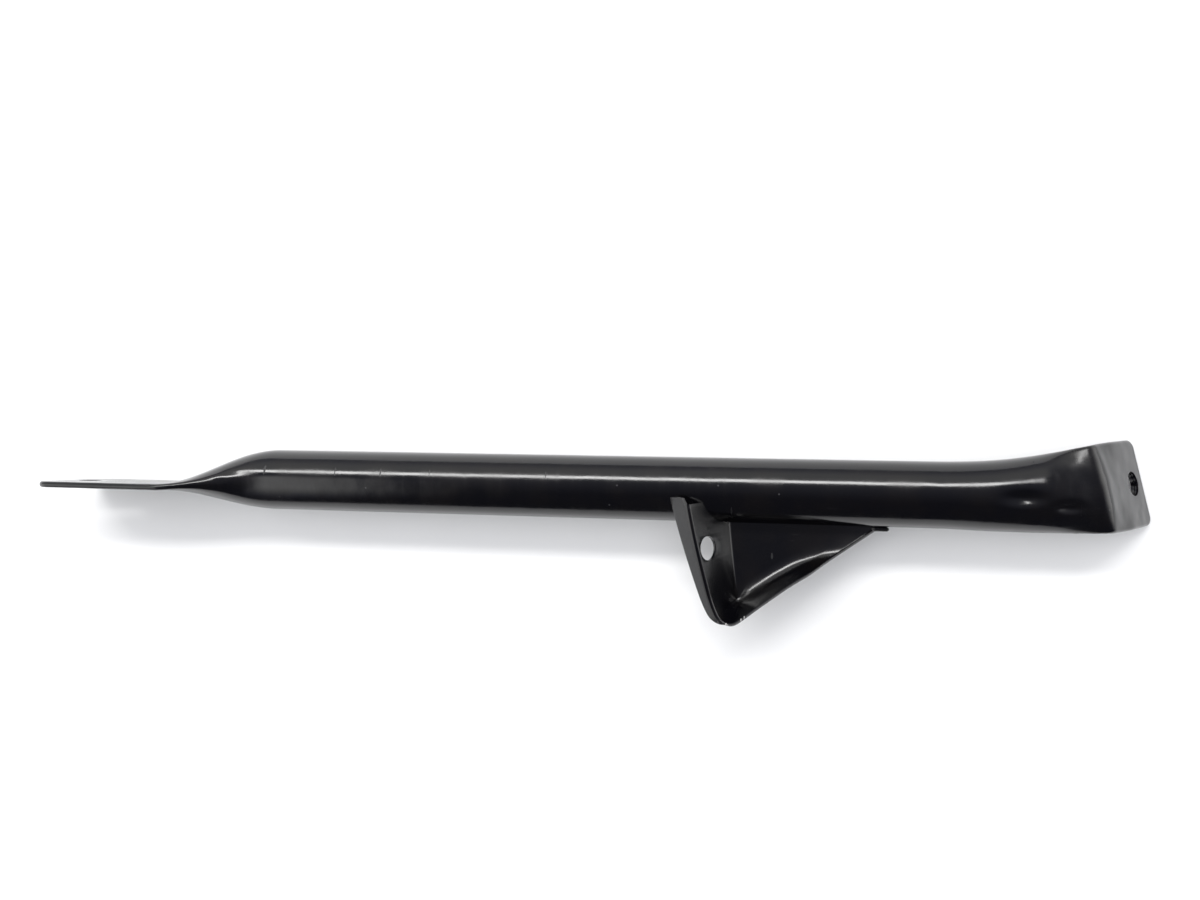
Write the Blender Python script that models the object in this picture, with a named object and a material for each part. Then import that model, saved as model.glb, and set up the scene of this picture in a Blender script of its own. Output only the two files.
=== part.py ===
"""Welded frame stay: a round steel tube crushed flat at both ends, with a pressed gusset bracket.

The tube runs along X. Its left end is crushed to an upright bolt tongue and its right end to a
flat bolt tab that is folded down. The bracket is a pressed sheet tray on the tube's -Y side,
held by four weld beads. The part stands on the tongue's lower edge and the tab's end.

Lengths are in millimetres in this file and become metres when a mesh is made. While it is
modelled, the straight tube's axis is the X axis. The finished part is then moved so that the
world origin is at the bottom centre of its bounding box.
"""

import math

import bmesh
import bpy
import numpy as np

MM = 0.001

# Tube
TUBE_RADIUS = 15.0
TUBE_WALL = 1.4
CRUSHED_GAP = 0.3            # slit left between the two crushed walls
RING_POINTS = 40
CRUSHED_HALF = TUBE_WALL + CRUSHED_GAP / 2.0
TIP_POWER = 2.0              # how long the folded edges stay tight as the tube opens
BOLT_HOLE_DIAMETER = 11.0    # clearance for an M10 bolt, in all three bolted faces
CUTTER_LENGTH = 12.0

# Tongue, at the left end
TONGUE_END_X = -369.8
TONGUE_ROOT_X = -301.0       # where the crushed walls start to open
ROUND_START_X = -245.0       # where the tube is fully round
TONGUE_OFFSET_Y = -4.4       # the tongue lies off the tube's axis
TONGUE_HALF_WIDTH = 23.1
TONGUE_CORNER_RADIUS = 8.0
TONGUE_HOLE_SETBACK = 15.0
OPENING_POWER = 1.35         # how quickly the tongue swells into the tube

# Tab, at the right end. Stations are measured along the centre line before the tab is folded:
# (distance, half width, half thickness, height of the top face)
TAB_STATIONS = (
    (72.0, 15.0, 15.0, 15.0),
    (95.0, 15.7, 14.8, 15.0),
    (115.0, 17.0, 13.6, 14.5),
    (128.0, 18.2, 8.8, 12.0),
    (136.0, 19.0, 4.3, 10.1),
    (147.0, 19.6, 2.8, 9.4),
    (160.0, 19.8, CRUSHED_HALF, 9.4),
    (178.5, 19.8, CRUSHED_HALF, 9.4),
)
TAB_CORNER_RADIUS = 3.5
TAB_HOLE_SETBACK = 10.8
BEND_START = 85.0            # the centre line turns towards +Y between these two distances
BEND_END = 135.0
BEND_ANGLE = math.radians(8.5)
FOLD_SKEW = math.radians(5.0)
FOLD_START = 136.2           # distance along the centre line where the fold begins
FOLD_ANGLE = math.radians(52.3)
FOLD_OUTER_RADIUS = 8.6
FOLD_NEUTRAL_RADIUS = 6.5

# Pressed gusset bracket. Its web lies level, beside the tube's axis.
SHEET = 1.5
WEB_TOP_Z = -1.0
WELD_GAP = 0.3
FLANGE_TOP = (-20.5, -0.6)           # foot of the flange, at its end over the tube
FLANGE_HEADING = math.radians(-83.7)
FLANGE_FOOT_LENGTH = 50.0
FLANGE_LEAN = math.radians(35.0)     # outwards from upright
FLANGE_HEIGHTS = (24.0, 16.0)        # over the tube and at the tray's corner
FLANGE_TAPER_POWER = 1.4
FLANGE_HOLE_Y = -25.1
FLANGE_HOLE_HEIGHT = 14.3
FOOT_CORNER = (-13.9, -50.3)
FOOT_CORNER_RADIUS = 1.2
RIM_CORNER = (-18.2, -53.0)
RIM_CORNER_RADIUS = 6.6
CORNER_ANGLES = (math.radians(193.0), math.radians(305.0))
CORNER_STEPS = 10
LIP_CORNER_HASTE = 1.6               # the lip shrinks faster than the corner turns
WALL_FOOT = ((-13.2, -51.2), (2.6, -39.7), (19.5, -27.8), (26.0, -21.5), (32.0, -12.5))
WALL_RIM = ((-12.9, -57.1), (-4.4, -50.6), (8.0, -41.6), (18.2, -35.5), (46.5, -15.4))
WALL_RIM_Z = ((-12.9, 14.0), (8.0, 9.6), (18.2, 6.7), (23.0, 2.6), (29.0, 0.4), (46.5, -0.6))
WALL_STEPS = 8
LIP_RUNS = (7.9, 4.2, 0.5)           # over the tube, at the tray's corner, on the sloping wall
LIP_DROPS = (8.4, 4.0, -0.4)

SADDLE_LENGTH = 160.0                # of the tube-shaped cut through the bracket

# Weld beads
BEAD_RADIUS = 1.6
BEAD_SIDES = 10
BEAD_STEPS = 10
FLANGE_BEAD_ANGLES = (40.0, 88.0)    # round the tube from its top, in degrees
WEB_BEADS_X = (("weld_web_front", -13.0, 3.0), ("weld_web_rear", 12.0, 28.0))
TAIL_BEAD_X = (47.6, 52.4)
TAIL_BEAD_RADIUS = 1.1


def smooth_table(rows, distance):
    """Read a table of rows at a distance, along a smooth curve through every column."""
    knots = np.array([row[0] for row in rows])
    values = np.array([row[1:] for row in rows])
    widths = np.diff(knots)
    slopes = np.diff(values, axis=0) / widths[:, None]
    tangents = np.zeros_like(values)
    for i in range(1, len(rows) - 1):
        before, after = slopes[i - 1], slopes[i]
        same_way = before * after > 0.0
        total = np.where(same_way, before + after, 1.0)
        tangents[i] = np.where(same_way, 2.0 * before * after / total, 0.0)
    i = int(np.clip(np.searchsorted(knots, distance, side="right") - 1, 0, len(widths) - 1))
    t = (distance - knots[i]) / widths[i]
    start = (1.0 + 2.0 * t) * (1.0 - t) ** 2 * values[i]
    leave = t * (1.0 - t) ** 2 * widths[i] * tangents[i]
    end = t * t * (3.0 - 2.0 * t) * values[i + 1]
    arrive = t * t * (t - 1.0) * widths[i] * tangents[i + 1]
    return start + leave + end + arrive


def tip_radius(half_thickness):
    """Radius of a crushed section's two folded edges. It lags behind as the tube opens."""
    opened = (half_thickness - CRUSHED_HALF) / (TUBE_RADIUS - CRUSHED_HALF)
    return CRUSHED_HALF + (TUBE_RADIUS - CRUSHED_HALF) * max(opened, 0.0) ** TIP_POWER


def crushed_ring(half_width, half_thickness, radius):
    """Outline of a tube squashed between two dies, as equal steps along its wall.

    Two shallow arcs, the flanks, are joined by a tight arc at each folded edge, so it runs from a
    circle through a rounded lens to a flat strip. The first column is across the flanks (wide),
    the second is through them (thin).
    """
    reach = half_width - radius
    slack = max(half_thickness - radius, 0.001)
    flank = (reach ** 2 + half_thickness ** 2 - radius ** 2) / (2.0 * slack)
    flank_angle = math.asin(reach / (flank - radius)) if flank > radius else 0.0
    edge = np.linspace(0.0, math.pi / 2.0 - flank_angle, 100)
    face = np.linspace(flank_angle, 0.0, 300)[1:]
    wide = np.concatenate([reach + radius * np.cos(edge), flank * np.sin(face)])
    thin = np.concatenate([radius * np.sin(edge), half_thickness - flank + flank * np.cos(face)])
    walked = np.concatenate([[0.0], np.cumsum(np.hypot(np.diff(wide), np.diff(thin)))])
    quarter = RING_POINTS // 4
    steps = np.linspace(0.0, walked[-1], quarter + 1)[:-1]
    q_wide = np.interp(steps, walked, wide)
    q_thin = np.interp(steps, walked, thin)
    back = np.linspace(walked[-1], 0.0, quarter + 1)[:-1]
    b_wide = np.interp(back, walked, wide)
    b_thin = np.interp(back, walked, thin)
    ring_wide = np.concatenate([q_wide, -b_wide, -q_wide, b_wide])
    ring_thin = np.concatenate([q_thin, b_thin, -q_thin, -b_thin])
    return np.stack([ring_wide, ring_thin], axis=1)


def corner_inset(distance_from_end, radius):
    """How far a rounded corner has pulled the side in, at a distance from the end."""
    if distance_from_end >= radius:
        return 0.0
    return radius - math.sqrt(radius ** 2 - (radius - distance_from_end) ** 2)


def corner_steps(radius):
    """Distances from the end that draw a rounded corner."""
    return [radius * (1.0 - math.cos(math.radians(a))) for a in (0, 15, 30, 45, 60, 75, 90)]


def tongue_sections():
    """Outer and inner rings from the tongue's end to the round tube, as (outer, inner) pairs."""
    spread = (TONGUE_HALF_WIDTH - CRUSHED_HALF) / (TUBE_RADIUS - CRUSHED_HALF)
    places = [TONGUE_END_X + d for d in corner_steps(TONGUE_CORNER_RADIUS)]
    places += list(np.linspace(TONGUE_ROOT_X, ROUND_START_X, 15))
    sections = []
    for x in places:
        t = min(max((x - TONGUE_ROOT_X) / (ROUND_START_X - TONGUE_ROOT_X), 0.0), 1.0)
        opened = math.sin(t * math.pi / 2.0) ** OPENING_POWER
        half_thickness = CRUSHED_HALF + (TUBE_RADIUS - CRUSHED_HALF) * opened
        half_width = half_thickness + spread * (TUBE_RADIUS - half_thickness)
        half_width -= corner_inset(x - TONGUE_END_X, TONGUE_CORNER_RADIUS)
        centre_y = TONGUE_OFFSET_Y * (1.0 - opened)
        radius = tip_radius(half_thickness)
        pair = []
        for inset in (0.0, TUBE_WALL):
            ring = crushed_ring(half_width - inset, half_thickness - inset, radius - inset)
            pair.append(np.stack([np.full(RING_POINTS, x), centre_y - ring[:, 1], ring[:, 0]], axis=1))
        sections.append(pair)
    return sections


def centre_line(distance):
    """Plan position and heading of the tube's centre line at a distance past x = 0."""
    radius = (BEND_END - BEND_START) / BEND_ANGLE
    turned = np.clip((distance - BEND_START) / radius, 0.0, BEND_ANGLE)
    x = min(distance, BEND_START) + radius * math.sin(turned)
    y = radius * (1.0 - math.cos(turned))
    past = max(distance - BEND_END, 0.0)
    return x + past * math.cos(turned), y + past * math.sin(turned), turned


def fold_frame():
    """Point where the fold starts and the level direction across the fold line."""
    x, y, heading = centre_line(FOLD_START)
    across = heading + FOLD_SKEW
    return np.array([x, y, 0.0]), np.array([math.cos(across), math.sin(across), 0.0])


def fold(points):
    """Fold the flat tab's points down about the fold line."""
    start, across = fold_frame()
    axis_z = TAB_STATIONS[-1][3] - FOLD_OUTER_RADIUS
    distance = (points - start) @ across
    height = points[:, 2] - axis_z
    angle = np.clip(distance / FOLD_NEUTRAL_RADIUS, 0.0, FOLD_ANGLE)
    past = np.maximum(distance - FOLD_NEUTRAL_RADIUS * FOLD_ANGLE, 0.0)
    level = height * np.sin(angle) + past * math.cos(FOLD_ANGLE)
    folded = points + np.outer(level - distance, across)
    folded[:, 2] = axis_z + height * np.cos(angle) - past * math.sin(FOLD_ANGLE)
    return np.where((distance > 0.0)[:, None], folded, points)


def tab_sections():
    """Outer and inner rings from the round tube to the tab's end, as (outer, inner) pairs."""
    end = TAB_STATIONS[-1][0]
    fold_end = FOLD_START + FOLD_NEUTRAL_RADIUS * FOLD_ANGLE
    flat_start = TAB_STATIONS[-2][0]
    places = list(np.linspace(TAB_STATIONS[0][0], FOLD_START, 13))
    places += list(np.linspace(FOLD_START, fold_end, 6))[1:]
    places += list(np.linspace(fold_end, flat_start, 5))[1:]
    places += [end - d for d in reversed(corner_steps(TAB_CORNER_RADIUS))]
    sections = []
    for distance in places:
        half_width, half_thickness, top = smooth_table(TAB_STATIONS, distance)
        half_width -= corner_inset(end - distance, TAB_CORNER_RADIUS)
        x, y, heading = centre_line(distance)
        skew = FOLD_SKEW * heading / BEND_ANGLE
        side = np.array([-math.sin(heading + skew), math.cos(heading + skew)]) / math.cos(skew)
        radius = tip_radius(half_thickness)
        pair = []
        for inset in (0.0, TUBE_WALL):
            ring = crushed_ring(half_width - inset, half_thickness - inset, radius - inset)
            ring = np.roll(ring, RING_POINTS // 4, axis=0)
            level = np.array([x, y]) - np.outer(ring[:, 0], side)
            points = np.column_stack([level, top - half_thickness - ring[:, 1]])
            pair.append(fold(points))
        sections.append(pair)
    return sections


def tab_hole():
    """Centre of the bolt hole on the tab's top face and the direction that face looks in."""
    end = TAB_STATIONS[-1][0]
    x, y, _ = centre_line(end - TAB_HOLE_SETBACK)
    centre = fold(np.array([[x, y, TAB_STATIONS[-1][3]]]))[0]
    across = fold_frame()[1]
    facing = across * math.sin(FOLD_ANGLE) + np.array([0.0, 0.0, math.cos(FOLD_ANGLE)])
    return centre, facing


def new_object(name, vertices, faces, parent, material=None, smooth=True):
    """Mesh object from millimetre points, closed faces looking outwards."""
    mesh = bpy.data.meshes.new(name)
    mesh.from_pydata([tuple(float(c) * MM for c in v) for v in vertices], [], faces)
    work = bmesh.new()
    work.from_mesh(mesh)
    bmesh.ops.recalc_face_normals(work, faces=work.faces)
    if work.calc_volume(signed=True) < 0.0:
        bmesh.ops.reverse_faces(work, faces=work.faces)
    work.to_mesh(mesh)
    work.free()
    if smooth:
        mesh.shade_smooth()
        mesh.set_sharp_from_angle(angle=math.radians(35.0))
    if material:
        mesh.materials.append(material)
    item = bpy.data.objects.new(name, mesh)
    item.parent = parent
    bpy.context.collection.objects.link(item)
    return item


def bridge(first, second, count):
    """Quads between two rings of vertex numbers that start at first and second."""
    return [(first + i, first + (i + 1) % count, second + (i + 1) % count, second + i)
            for i in range(count)]


def cylinder_cutter(name, centre, direction, radius, length, parent, sides=48):
    """Round cutter through a point, which the build leaves out."""
    direction = np.array(direction, dtype=float) / np.linalg.norm(direction)
    helper = np.array([0.0, 0.0, 1.0]) if abs(direction[2]) < 0.9 else np.array([1.0, 0.0, 0.0])
    side = np.cross(direction, helper)
    side /= np.linalg.norm(side)
    other = np.cross(direction, side)
    vertices = []
    for end in (-0.5, 0.5):
        for i in range(sides):
            angle = 2.0 * math.pi * i / sides
            rim = math.cos(angle) * side + math.sin(angle) * other
            vertices.append(np.array(centre) + direction * end * length + rim * radius)
    faces = bridge(0, sides, sides)
    faces.append(tuple(range(sides)))
    faces.append(tuple(reversed(range(sides, 2 * sides))))
    cutter = new_object(name, vertices, faces, parent, smooth=False)
    cutter.hide_render = True
    cutter.display_type = "WIRE"
    return cutter


def cut(target, cutter):
    """Take the cutter out of the target."""
    modifier = target.modifiers.new("Cut " + cutter.name, "BOOLEAN")
    modifier.operation = "DIFFERENCE"
    modifier.solver = "EXACT"
    modifier.object = cutter


def make_tube(parent, paint):
    """The strut: one tube wall with an outer and an inner skin, joined round both end slits."""
    sections = tongue_sections() + tab_sections()
    vertices = [p for outer, _ in sections for p in outer]
    inner_start = len(vertices)
    vertices += [p for _, inner in sections for p in inner]
    faces = []
    for skin in (0, inner_start):
        for i in range(len(sections) - 1):
            first = skin + i * RING_POINTS
            faces += bridge(first, first + RING_POINTS, RING_POINTS)
    for end in (0, len(sections) - 1):
        first = end * RING_POINTS
        faces += bridge(first, inner_start + first, RING_POINTS)
    tube = new_object("strut_tube", vertices, faces, parent, paint)
    tongue_hole = (TONGUE_END_X + TONGUE_HOLE_SETBACK, TONGUE_OFFSET_Y, 0.0)
    radius = BOLT_HOLE_DIAMETER / 2.0
    cut(tube, cylinder_cutter("cut_tongue_hole", tongue_hole, (0, 1, 0), radius, CUTTER_LENGTH, parent))
    centre, facing = tab_hole()
    cut(tube, cylinder_cutter("cut_tab_hole", centre, facing, radius, CUTTER_LENGTH, parent))
    return tube


def flange_point(along, height):
    """Point on the flange's inner face: along its foot, and up from the web."""
    heading = np.array([math.cos(FLANGE_HEADING), math.sin(FLANGE_HEADING)])
    outward = np.array([heading[1], -heading[0]])
    level = np.array(FLANGE_TOP) + heading * along + outward * height * math.tan(FLANGE_LEAN)
    return np.array([level[0], level[1], WEB_TOP_Z + height])


def flange_normal():
    """Direction that the flange's inner face looks in."""
    heading = np.array([math.cos(FLANGE_HEADING), math.sin(FLANGE_HEADING)])
    inward = np.array([-heading[1], heading[0]])
    return np.array([*(inward * math.cos(FLANGE_LEAN)), math.sin(FLANGE_LEAN)])


def tray_stations():
    """Foot, rim and lip points round the tray: down the flange, round the corner, up the wall."""
    stations = []
    for t in (0.0, 0.33, 0.66, 1.0):
        along = FLANGE_FOOT_LENGTH * t
        taper = t ** FLANGE_TAPER_POWER
        height = FLANGE_HEIGHTS[0] + (FLANGE_HEIGHTS[1] - FLANGE_HEIGHTS[0]) * taper
        foot = flange_point(along, 0.0)
        rim = flange_point(along, height)
        outward = (rim - foot)[:2] / np.linalg.norm((rim - foot)[:2])
        run = LIP_RUNS[0] + (LIP_RUNS[1] - LIP_RUNS[0]) * t
        drop = LIP_DROPS[0] + (LIP_DROPS[1] - LIP_DROPS[0]) * t
        stations.append((foot, rim, outward, run, drop))
    rim_start = stations[-1][1]
    for i in range(1, CORNER_STEPS):
        t = i / CORNER_STEPS
        angle = CORNER_ANGLES[0] + (CORNER_ANGLES[1] - CORNER_ANGLES[0]) * t
        outward = np.array([math.cos(angle), math.sin(angle)])
        foot = np.append(np.array(FOOT_CORNER) + outward * FOOT_CORNER_RADIUS, WEB_TOP_Z)
        rim_z = rim_start[2] + (WALL_RIM_Z[0][1] - rim_start[2]) * t
        rim = np.append(np.array(RIM_CORNER) + outward * RIM_CORNER_RADIUS, rim_z)
        shrunk = min(t * LIP_CORNER_HASTE, 1.0)
        run = LIP_RUNS[1] + (LIP_RUNS[2] - LIP_RUNS[1]) * shrunk
        drop = LIP_DROPS[1] + (LIP_DROPS[2] - LIP_DROPS[1]) * shrunk
        stations.append((foot, rim, outward, run, drop))
    outward = stations[-1][2]
    for t in np.linspace(0.0, 1.0, WALL_STEPS + 1):
        foot_x = WALL_FOOT[0][0] + (WALL_FOOT[-1][0] - WALL_FOOT[0][0]) * t
        foot = np.array([foot_x, np.interp(foot_x, *zip(*WALL_FOOT)), WEB_TOP_Z])
        rim_x = WALL_RIM[0][0] + (WALL_RIM[-1][0] - WALL_RIM[0][0]) * t
        rim_z = np.interp(rim_x, *zip(*WALL_RIM_Z))
        rim = np.array([rim_x, np.interp(rim_x, *zip(*WALL_RIM)), rim_z])
        stations.append((foot, rim, outward, LIP_RUNS[2], LIP_DROPS[2]))
    return stations


def make_bracket(parent, paint):
    """The gusset: a level web with a wall round two sides, and a lip turned over its rim."""
    stations = tray_stations()
    count = len(stations)
    feet = [s[0] for s in stations]
    rims = [s[1] for s in stations]
    lips = [np.append(rim[:2] + outward * run, rim[2] - drop)
            for _, rim, outward, run, drop in stations]
    vertices = feet + rims + lips
    faces = [tuple(range(count))]
    for i in range(count - 1):
        faces.append((i + 1, i, count + i, count + i + 1))
        faces.append((count + i + 1, count + i, 2 * count + i, 2 * count + i + 1))
    mesh = bpy.data.meshes.new("gusset_bracket")
    mesh.from_pydata([tuple(float(c) * MM for c in v) for v in vertices], [], faces)
    mesh.materials.append(paint)
    bracket = bpy.data.objects.new("gusset_bracket", mesh)
    bracket.parent = parent
    bpy.context.collection.objects.link(bracket)
    shell = bracket.modifiers.new("Sheet", "SOLIDIFY")
    shell.thickness = SHEET * MM
    shell.offset = -1.0
    shell.use_even_offset = True
    saddle = cylinder_cutter("cut_saddle", (0, 0, 0), (1, 0, 0), TUBE_RADIUS + WELD_GAP,
                             SADDLE_LENGTH, parent, sides=96)
    cut(bracket, saddle)
    centre = flange_point(FLANGE_TOP[1] - FLANGE_HOLE_Y, FLANGE_HOLE_HEIGHT)
    hole = cylinder_cutter("cut_flange_hole", centre, flange_normal(), BOLT_HOLE_DIAMETER / 2.0,
                           CUTTER_LENGTH, parent)
    cut(bracket, hole)
    return bracket


def make_bead(name, path, parent, steel, bead_radius=BEAD_RADIUS):
    """A weld bead: a round ridge along a path, closed to a blunt point at both ends."""
    path = np.array(path)
    walked = np.concatenate([[0.0], np.cumsum(np.linalg.norm(np.diff(path, axis=0), axis=1))])
    tangents = np.gradient(path, axis=0)
    tangents /= np.linalg.norm(tangents, axis=1)[:, None]
    vertices = []
    for point, tangent, place in zip(path, tangents, walked):
        from_end = min(place, walked[-1] - place)
        fullness = min(from_end / bead_radius, 1.0)
        radius = bead_radius * max(math.sqrt(fullness * (2.0 - fullness)), 0.35)
        out = np.array([0.0, point[1], point[2]])
        out -= tangent * out.dot(tangent)
        out /= np.linalg.norm(out)
        side = np.cross(tangent, out)
        for i in range(BEAD_SIDES):
            angle = 2.0 * math.pi * i / BEAD_SIDES
            vertices.append(point + radius * (math.cos(angle) * out + math.sin(angle) * side))
    faces = []
    for i in range(len(path) - 1):
        faces += bridge(i * BEAD_SIDES, (i + 1) * BEAD_SIDES, BEAD_SIDES)
    last = (len(path) - 1) * BEAD_SIDES
    faces.append(tuple(range(BEAD_SIDES)))
    faces.append(tuple(range(last, last + BEAD_SIDES)))
    return new_object(name, vertices, faces, parent, steel)


def on_tube(x, angle, bead_radius=BEAD_RADIUS):
    """A bead's centre beside the tube: angle is measured from straight up towards -Y."""
    reach = TUBE_RADIUS + WELD_GAP + bead_radius
    return (x, -reach * math.sin(angle), reach * math.cos(angle))


def make_beads(parent, steel):
    """Four beads: behind the flange, two stitches under the web, and one at the tail."""
    sheet_across = SHEET / math.cos(FLANGE_LEAN)
    clear = sheet_across + (WELD_GAP + BEAD_RADIUS) / math.cos(FLANGE_LEAN)
    flange = []
    for angle in np.radians(np.linspace(*FLANGE_BEAD_ANGLES, BEAD_STEPS)):
        _, y, z = on_tube(0.0, angle)
        along = (FLANGE_TOP[1] - y) / math.sin(-FLANGE_HEADING)
        flange.append(on_tube(flange_point(along, z - WEB_TOP_Z)[0] - clear, angle))
    make_bead("weld_flange", flange, parent, steel)
    reach = TUBE_RADIUS + WELD_GAP + BEAD_RADIUS
    below_web = SHEET - WEB_TOP_Z + WELD_GAP + BEAD_RADIUS
    under_web = math.radians(90.0) + math.asin(below_web / reach)
    for name, start, end in WEB_BEADS_X:
        path = [on_tube(x, under_web) for x in np.linspace(start, end, BEAD_STEPS)]
        make_bead(name, path, parent, steel)
    tail = [on_tube(x, math.radians(90.0), TAIL_BEAD_RADIUS)
            for x in np.linspace(*TAIL_BEAD_X, BEAD_STEPS)]
    make_bead("weld_tail", tail, parent, steel, TAIL_BEAD_RADIUS)


def painted(name, colour, roughness, metallic):
    """A plain Principled material."""
    material = bpy.data.materials.new(name)
    material.use_nodes = True
    shader = material.node_tree.nodes["Principled BSDF"]
    shader.inputs["Base Color"].default_value = (*colour, 1.0)
    shader.inputs["Roughness"].default_value = roughness
    shader.inputs["Metallic"].default_value = metallic
    material.diffuse_color = (*colour, 1.0)
    return material


def stand_on_origin(root):
    """Move the part so that the origin is at the bottom centre of its bounding box."""
    bpy.context.view_layer.update()
    graph = bpy.context.evaluated_depsgraph_get()
    corners = []
    for item in root.children:
        if not item.hide_render:
            shape = item.evaluated_get(graph)
            corners += [item.matrix_world @ v.co for v in shape.data.vertices]
    corners = np.array([tuple(c) for c in corners])
    low = corners.min(axis=0)
    high = corners.max(axis=0)
    root.location = (-(low[0] + high[0]) / 2.0, -(low[1] + high[1]) / 2.0, -low[2])


def main():
    """Build the whole part."""
    for item in list(bpy.data.objects):
        bpy.data.objects.remove(item, do_unlink=True)
    root = bpy.data.objects.new("stay", None)
    bpy.context.collection.objects.link(root)
    tube_paint = painted("tube_paint", (0.012, 0.012, 0.014), 0.22, 0.0)
    bracket_paint = painted("bracket_paint", (0.014, 0.013, 0.015), 0.28, 0.0)
    weld_paint = painted("weld_paint", (0.02, 0.02, 0.022), 0.4, 0.0)
    make_tube(root, tube_paint)
    make_bracket(root, bracket_paint)
    make_beads(root, weld_paint)
    stand_on_origin(root)


main()
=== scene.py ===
"""Looks of the welded frame stay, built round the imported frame.

The tube, the pressed gusset tray and the weld beads are rebuilt here as fine meshes, in the
places that the frame gives. Lengths are in millimetres and become metres when a mesh is made.
While a piece is modelled, the straight tube's axis is the X axis.
"""

import math

import bmesh
import bpy
import numpy as np
from mathutils import Matrix, Vector


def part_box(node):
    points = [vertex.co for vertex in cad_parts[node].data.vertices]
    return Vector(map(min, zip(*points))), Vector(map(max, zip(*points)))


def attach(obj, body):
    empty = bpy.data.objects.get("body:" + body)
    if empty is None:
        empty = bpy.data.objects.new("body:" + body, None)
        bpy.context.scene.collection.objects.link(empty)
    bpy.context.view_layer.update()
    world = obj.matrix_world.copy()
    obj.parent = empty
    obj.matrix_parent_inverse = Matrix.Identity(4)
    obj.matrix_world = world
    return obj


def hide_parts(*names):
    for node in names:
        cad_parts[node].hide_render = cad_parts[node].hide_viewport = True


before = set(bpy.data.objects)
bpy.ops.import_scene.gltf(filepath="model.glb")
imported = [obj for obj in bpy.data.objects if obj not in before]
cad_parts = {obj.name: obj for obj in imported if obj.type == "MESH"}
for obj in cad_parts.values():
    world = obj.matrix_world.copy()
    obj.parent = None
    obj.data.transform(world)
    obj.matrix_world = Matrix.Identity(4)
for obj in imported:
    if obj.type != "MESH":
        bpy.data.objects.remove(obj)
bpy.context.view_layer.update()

MM = 0.001

# Where the tube's axes lie in the frame: the tail bead is a known point on them.
TAIL_BEAD_CENTRE = np.array([50.0, -16.4, 0.0])
TAIL_LOW, TAIL_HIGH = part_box("weld_tail")
AXES_ORIGIN = np.array((TAIL_LOW + TAIL_HIGH) / 2.0) - TAIL_BEAD_CENTRE * MM

# Tube
TUBE_RADIUS = 15.0
TUBE_WALL = 1.4
CRUSHED_HALF = TUBE_WALL + 0.15      # half of the two walls and the slit between them
RING_POINTS = 160
TIP_POWER = 2.6              # how long the folded edges stay tight as the tube opens
BOLT_HOLE_RADIUS = 5.5
EDGE_ROUND = 0.35            # rounding of the cut edges under the paint
CUTTER_LENGTH = 12.0

# Tongue, at the left end
TONGUE_END_X = -369.8
TONGUE_ROOT_X = -301.0       # where the crushed walls start to open
ROUND_START_X = -245.0       # where the tube is fully round
TONGUE_OFFSET_Y = -4.4       # the tongue lies off the tube's axis
TONGUE_HALF_WIDTH = 23.1
TONGUE_CORNER_RADIUS = 8.0
TONGUE_HOLE_SETBACK = 15.0
OPENING_POWER = 1.35         # how quickly the tongue swells into the tube
TONGUE_STEPS = 16            # sections on the flat, then on the swelling part
NECK_STEPS = 57

# Tab, at the right end. Stations are measured along the centre line before the tab is folded:
# (distance, half width, half thickness, height of the top face)
TAB_STATIONS = (
    (72.0, 15.0, 15.0, 15.0),
    (95.0, 15.7, 14.8, 15.0),
    (115.0, 17.0, 13.6, 14.5),
    (128.0, 18.2, 8.8, 12.0),
    (136.0, 19.0, 4.3, 10.1),
    (147.0, 19.6, 2.8, 9.4),
    (160.0, 19.8, CRUSHED_HALF, 9.4),
    (178.5, 19.8, CRUSHED_HALF, 9.4),
)
TAB_CORNER_RADIUS = 3.5
TAB_HOLE_SETBACK = 10.8
BEND_START = 85.0            # the centre line turns towards +Y between these two distances
BEND_END = 135.0
BEND_ANGLE = math.radians(8.5)
FOLD_SKEW = math.radians(5.0)
FOLD_START = 136.2           # distance along the centre line where the fold begins
FOLD_ANGLE = math.radians(52.3)
FOLD_OUTER_RADIUS = 8.6
FOLD_NEUTRAL_RADIUS = 6.5
STRAIGHT_STEPS = 60          # sections on each stretch, from the straight tube to the tab's flat
SHOULDER_STEPS = 54
FOLD_STEPS = 16
LEAD_STEPS = 12
FLAT_STEPS = 8

# Dents that the dies left in the tube's upper side: (x, y, reach x, reach y, depth)
DENTS = (
    (-262.0, 3.4, 8.0, 1.6, 0.22),
    (-279.0, 1.0, 3.5, 1.6, 0.15),
    (-271.0, -0.5, 4.0, 1.8, 0.18),
    (106.0, 0.0, 7.4, 2.9, 1.85),
    (124.5, -3.8, 5.0, 2.2, 1.60),
    (121.0, 8.0, 1.6, 5.0, 0.16),
    (126.0, 6.0, 1.6, 5.0, 0.16),
)
UPPER_SIDE_Z = 3.0           # points below this are left alone

# Gusset tray. Its web lies level, beside the tube's axis.
SHEET = 1.5
WEB_TOP_Z = -1.0
FLANGE_TOP = np.array([-20.5, -0.6])         # foot of the flange, at its end over the tube
FLANGE_HEADING = math.radians(-83.7)
FLANGE_FOOT_LENGTH = 50.0
FLANGE_LEAN = math.radians(35.0)             # outwards from upright
FLANGE_HEIGHTS = (24.0, 16.0)                # over the tube and at the tray's corner
FLANGE_TAPER_POWER = 1.4
FLANGE_HOLE_Y = -25.1
FLANGE_HOLE_HEIGHT = 14.3
FOOT_CORNER = np.array([-13.9, -50.3])
FOOT_CORNER_RADIUS = 1.2
RIM_CORNER = np.array([-18.2, -53.0])
RIM_CORNER_RADIUS = 6.6
CORNER_ANGLES = (math.radians(193.0), math.radians(305.0))
LIP_CORNER_HASTE = 1.6                       # the lip shrinks faster than the corner turns
WALL_FOOT = ((-13.2, -51.2), (2.6, -39.7), (19.5, -27.8), (26.0, -21.5), (32.0, -12.5))
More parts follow.
